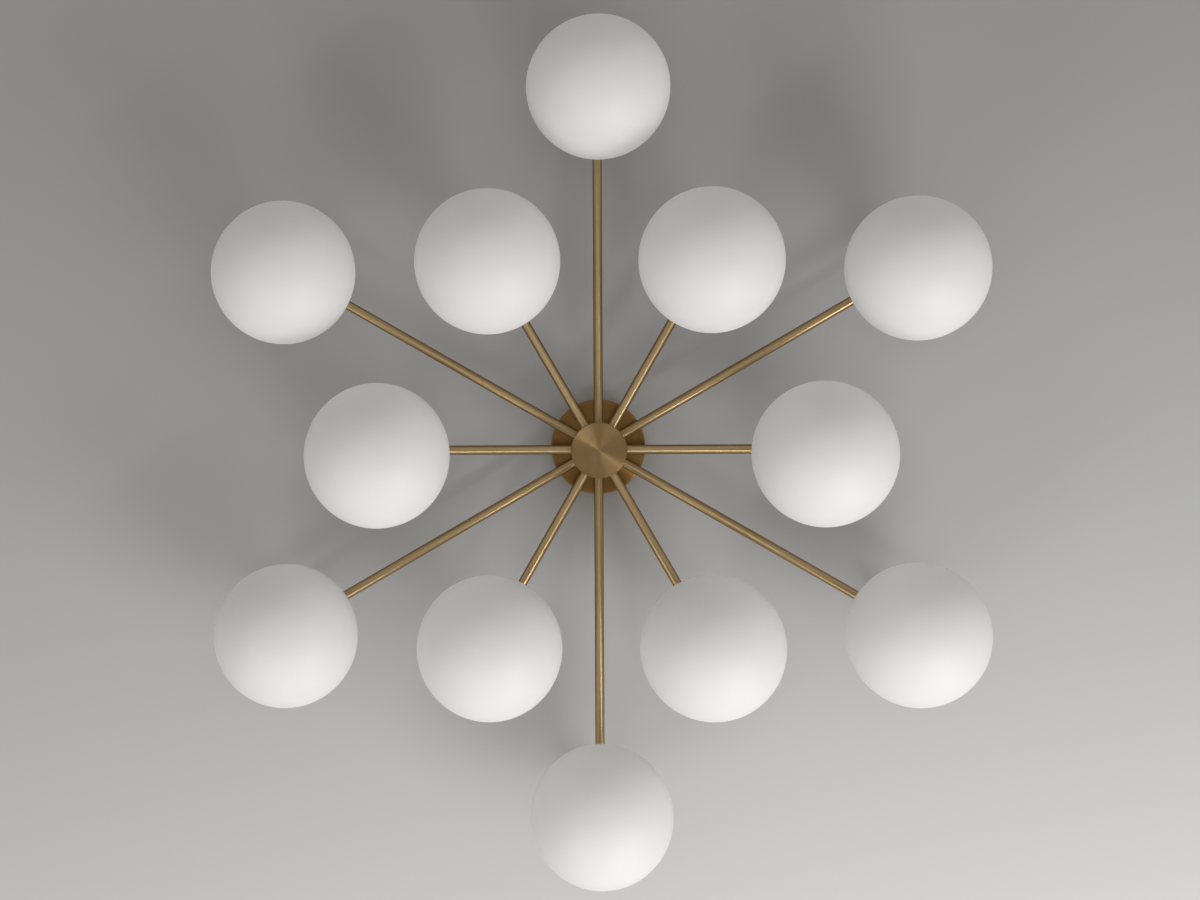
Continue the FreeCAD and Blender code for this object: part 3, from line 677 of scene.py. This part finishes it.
def make_cap():
    """The hub's front disc: a flat brushed face, a bright chamfer and a threaded spigot."""
    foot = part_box("hub_cap")[0][2] / MM
    rim = foot + CAP_THICKNESS
    root = SPIGOT_RADIUS - SPIGOT_THREAD
    inside = SPIGOT_RADIUS - SPIGOT_WALL
    top = rim + SPIGOT_LENGTH
    profile = [(0.0, foot), (CAP_RADIUS * 0.5, foot), (CAP_RADIUS - CAP_CHAMFER, foot),
               (CAP_RADIUS, foot + CAP_CHAMFER), (CAP_RADIUS, rim - 0.3), (CAP_RADIUS - 0.3, rim),
               (SPIGOT_RADIUS + 0.4, rim), (root, rim + 0.3)]
    profile += rows(root, rim + 0.5, top - 0.3, 0.2)
    profile += [(root - 0.3, top), (inside + 0.3, top), (inside, top - 0.3), (inside, rim + 0.6),
                (inside - 0.6, rim), (0.0, rim)]
    cap = lathe("front_disc", profile, 128, smooth_angle=28.0,
                shape=thread(root, SPIGOT_THREAD, SPIGOT_PITCH, rim + 0.5, top - 0.3))
    dressed(cap, MATERIALS["brushed_brass_face"], "hub_cap", "brushed_brass_face", "hub_cap")


def slotted_screw(name, shank, shank_radius, head_radius, head_height, axis="Z"):
    """A low round-headed screw: shank from height 0, head above it with a straight slot."""
    depth = 0.3
    root = shank_radius - depth
    crown = shank + head_height
    profile = [(0.0, 0.0), (root, 0.0)]
    if shank > 0.8:
        profile += rows(root, 0.2, shank - 0.2, 0.18)
    straight = 0.35
    profile += [(head_radius - 0.15, shank), (head_radius, shank + 0.15),
                (head_radius, shank + straight * head_height)]
    for share in (0.75, 0.5, 0.25):
        lift = straight + (1 - straight) * math.sqrt(1 - share ** 2)
        profile.append((head_radius * share, shank + head_height * lift))
    profile.append((0.0, crown))
    screw = lathe(name, profile, 40, axis, shape=thread(root, depth, SCREW_PITCH, 0.2, shank - 0.2))
    slot_half = 0.13 * head_radius
    low = (shank + 0.45 * head_height, -2 * head_radius, -slot_half)
    high = (crown + 1, 2 * head_radius, slot_half)
    if axis == "Z":
        low, high = low[1:] + low[:1], high[1:] + high[:1]
    return combine(screw, block("slot", low, high), "DIFFERENCE")


def make_screws():
    """Three side screws of the canopy, the earth screw, and the clamping screws of the hub's connector."""
    master = slotted_screw("side_screw", SIDE_SCREW_LENGTH, 2.0, SIDE_SCREW_HEAD, SIDE_SCREW_HEAD_HEIGHT, "X")
    level = Vector((0, 0, SIDE_SCREW_LEVEL * MM))
    for index in range(SIDE_SCREWS):
        angle = 90 + 360 / SIDE_SCREWS * index
        way = Vector((math.cos(math.radians(angle)), math.sin(math.radians(angle)), 0))
        item = copied(master, "canopy_side_screw_{}".format(index + 1))
        put(item, way * (CANOPY_RADIUS - SIDE_SCREW_LENGTH) * MM + level, angle)
        dressed(item, MATERIALS["screw_steel"], "light", "screw_steel", "bracket_screws")
    bpy.data.objects.remove(master)
    earth = slotted_screw("earth_screw", 2.0, 2.0, 4.0, 2.5)
    place = Vector((EARTH_SCREW_PLACE[0] * MM, EARTH_SCREW_PLACE[1] * MM, 0))
    downwards = Matrix.Rotation(math.pi, 4, "X")
    earth.matrix_basis = Matrix.Translation(place) @ downwards
    dressed(earth, MATERIALS["screw_steel"], "light", "screw_steel", "bracket_screws")
    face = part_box("terminal_blocks")[0][2]
    master = slotted_screw("clamp_screw", 0.0, 1.6, 1.7, 0.8)
    ring = CONNECTOR_SCREW_RING * MM
    for index in range(CONNECTOR_SCREWS):
        angle = math.radians(360 / CONNECTOR_SCREWS * index)
        item = copied(master, "connector_screw_{}".format(index + 1))
        place = Vector((ring * math.cos(angle), ring * math.sin(angle), face))
        item.matrix_basis = Matrix.Translation(place) @ downwards
        dressed(item, MATERIALS["nut_brass"], "light", "nut_brass")
    bpy.data.objects.remove(master)


make_arms()
make_cups()
make_globes()
make_bulbs()
make_holders()
make_fixings()
make_lock_nuts()
make_stem()
make_cap()
make_screws()


# ---------------------------------------------------------------- model nodes that keep their shape

for record_part in frame["record"]["subparts"]:
    node_object = frame["nodes"][record_part["node"]]
    node_object.data.materials.clear()
    node_object.data.materials.append(MATERIALS[record_part["material_slot"]])


# ---------------------------------------------------------------- stage, light and camera

def make_ceiling():
    """A pale ceiling just above the light. Its colour is painted paler towards the window side, as painted
    light for the windows' light falling off across it. It is clear from above, so other views see past it."""
    half = CEILING_HALF_WIDTH
    mesh = bpy.data.meshes.new("ceiling")
    corners = [(-half, half, 0), (half, half, 0), (half, -half, 0), (-half, -half, 0)]
    mesh.from_pydata(corners, [], [(0, 1, 2, 3)])
    item = bpy.data.objects.new("ceiling", mesh)
    bpy.context.scene.collection.objects.link(item)
    item.location.z = CEILING_GAP
    material, tree, shader = new_material("ceiling_paint_and_painted_light")
    coords = add_node(tree, "ShaderNodeTexCoord").outputs["Object"]
    parts = add_node(tree, "ShaderNodeSeparateXYZ", {0: coords}).outputs
    # Painted light: the grey runs from darker to paler towards the windows (+Y, a little +X), standing in for
    # their light falling off across the ceiling.
    painted_light_slope = calculate(tree, "ADD", calculate(tree, "MULTIPLY", parts[0], 0.12), parts[1])
    share = calculate(tree, "POWER", spread(tree, painted_light_slope, -0.5, 0.6, 0.0, 1.0), 1.5)
    colour = blend_colours(tree, share, grey(0.355), grey(0.62))
    tree.links.new(colour, shader.inputs["Base Color"])
    roller = noise(tree, coords, 130.0, 3.0, 0.5)
    bump = add_node(tree, "ShaderNodeBump", {"Height": roller, "Strength": 0.15, "Distance": 0.0004})
    tree.links.new(bump.outputs[0], shader.inputs["Normal"])
    shader.inputs["Roughness"].default_value = 0.9
    shader.inputs["Specular IOR Level"].default_value = 0.1
    back = add_node(tree, "ShaderNodeNewGeometry").outputs["Backfacing"]
    clear = add_node(tree, "ShaderNodeBsdfTransparent")
    mixed = add_node(tree, "ShaderNodeMixShader", {0: back, 1: shader.outputs[0], 2: clear.outputs[0]})
    tree.links.new(mixed.outputs[0], tree.nodes["Material Output"].inputs["Surface"])
    mesh.materials.append(material)
    item.visible_diffuse = False
    item.visible_shadow = False


def make_lamp(name, azimuth, elevation, size, power):
    """A soft window, at an azimuth from +X and an angle below the ceiling, both in degrees."""
    data = bpy.data.lights.new(name, "AREA")
    data.shape = "RECTANGLE"
    data.size, data.size_y = size
    data.energy = power
    item = bpy.data.objects.new(name, data)
    bpy.context.scene.collection.objects.link(item)
    around, below = math.radians(azimuth), math.radians(elevation)
    way = Vector((math.cos(below) * math.cos(around), math.cos(below) * math.sin(around), -math.sin(below)))
    item.location = way * LAMP_DISTANCE
    item.rotation_euler = (-way).to_track_quat("-Z", "Y").to_euler()


def make_world():
    """A room that is brighter towards the windows and dim on the far side."""
    world = bpy.data.worlds.new("room")
    bpy.context.scene.world = world
    world.use_nodes = True
    tree = world.node_tree
    coords = add_node(tree, "ShaderNodeTexCoord").outputs["Generated"]
    parts = add_node(tree, "ShaderNodeSeparateXYZ", {0: coords}).outputs
    towards = calculate(tree, "ADD", calculate(tree, "MULTIPLY", parts[0], 0.35),
                        calculate(tree, "MULTIPLY", parts[1], 0.94))
    side = spread(tree, towards, -0.9, 0.9, 0.32, 0.62)
    upright = calculate(tree, "ABSOLUTE", parts[2])
    above = 0.6
    strength = calculate(tree, "ADD", side,
                         calculate(tree, "MULTIPLY", upright, calculate(tree, "SUBTRACT", above, side)))
    background = tree.nodes["Background"]
    background.inputs["Color"].default_value = (1.0, 0.985, 0.96, 1.0)
    tree.links.new(strength, background.inputs["Strength"])


def make_camera():
    """Below the light, looking up: image right is +X and image down is +Y, as in the photograph."""
    data = bpy.data.cameras.new("camera")
    item = bpy.data.objects.new("camera", data)
    bpy.context.scene.collection.objects.link(item)
    data.sensor_width = 36.0
    data.lens = 55.89
    data.shift_x = 0.07
    data.shift_y = -0.0575
    data.clip_end = 50.0
    item.location = (-0.0280, -0.1083, -2.0882)
    item.rotation_euler = Euler((math.radians(179.030), math.radians(-1.735), math.radians(0.329)))
    bpy.context.scene.camera = item


make_ceiling()
make_world()
make_lamp("main_window", 52.0, 34.0, (1.2, 0.5), 18.0)
make_lamp("low_window", 52.0, 49.0, (1.3, 0.14), 7.0)
make_lamp("second_window", 118.0, 37.0, (1.0, 0.4), 8.0)
make_camera()

bpy.context.scene.view_settings.view_transform = "Standard"
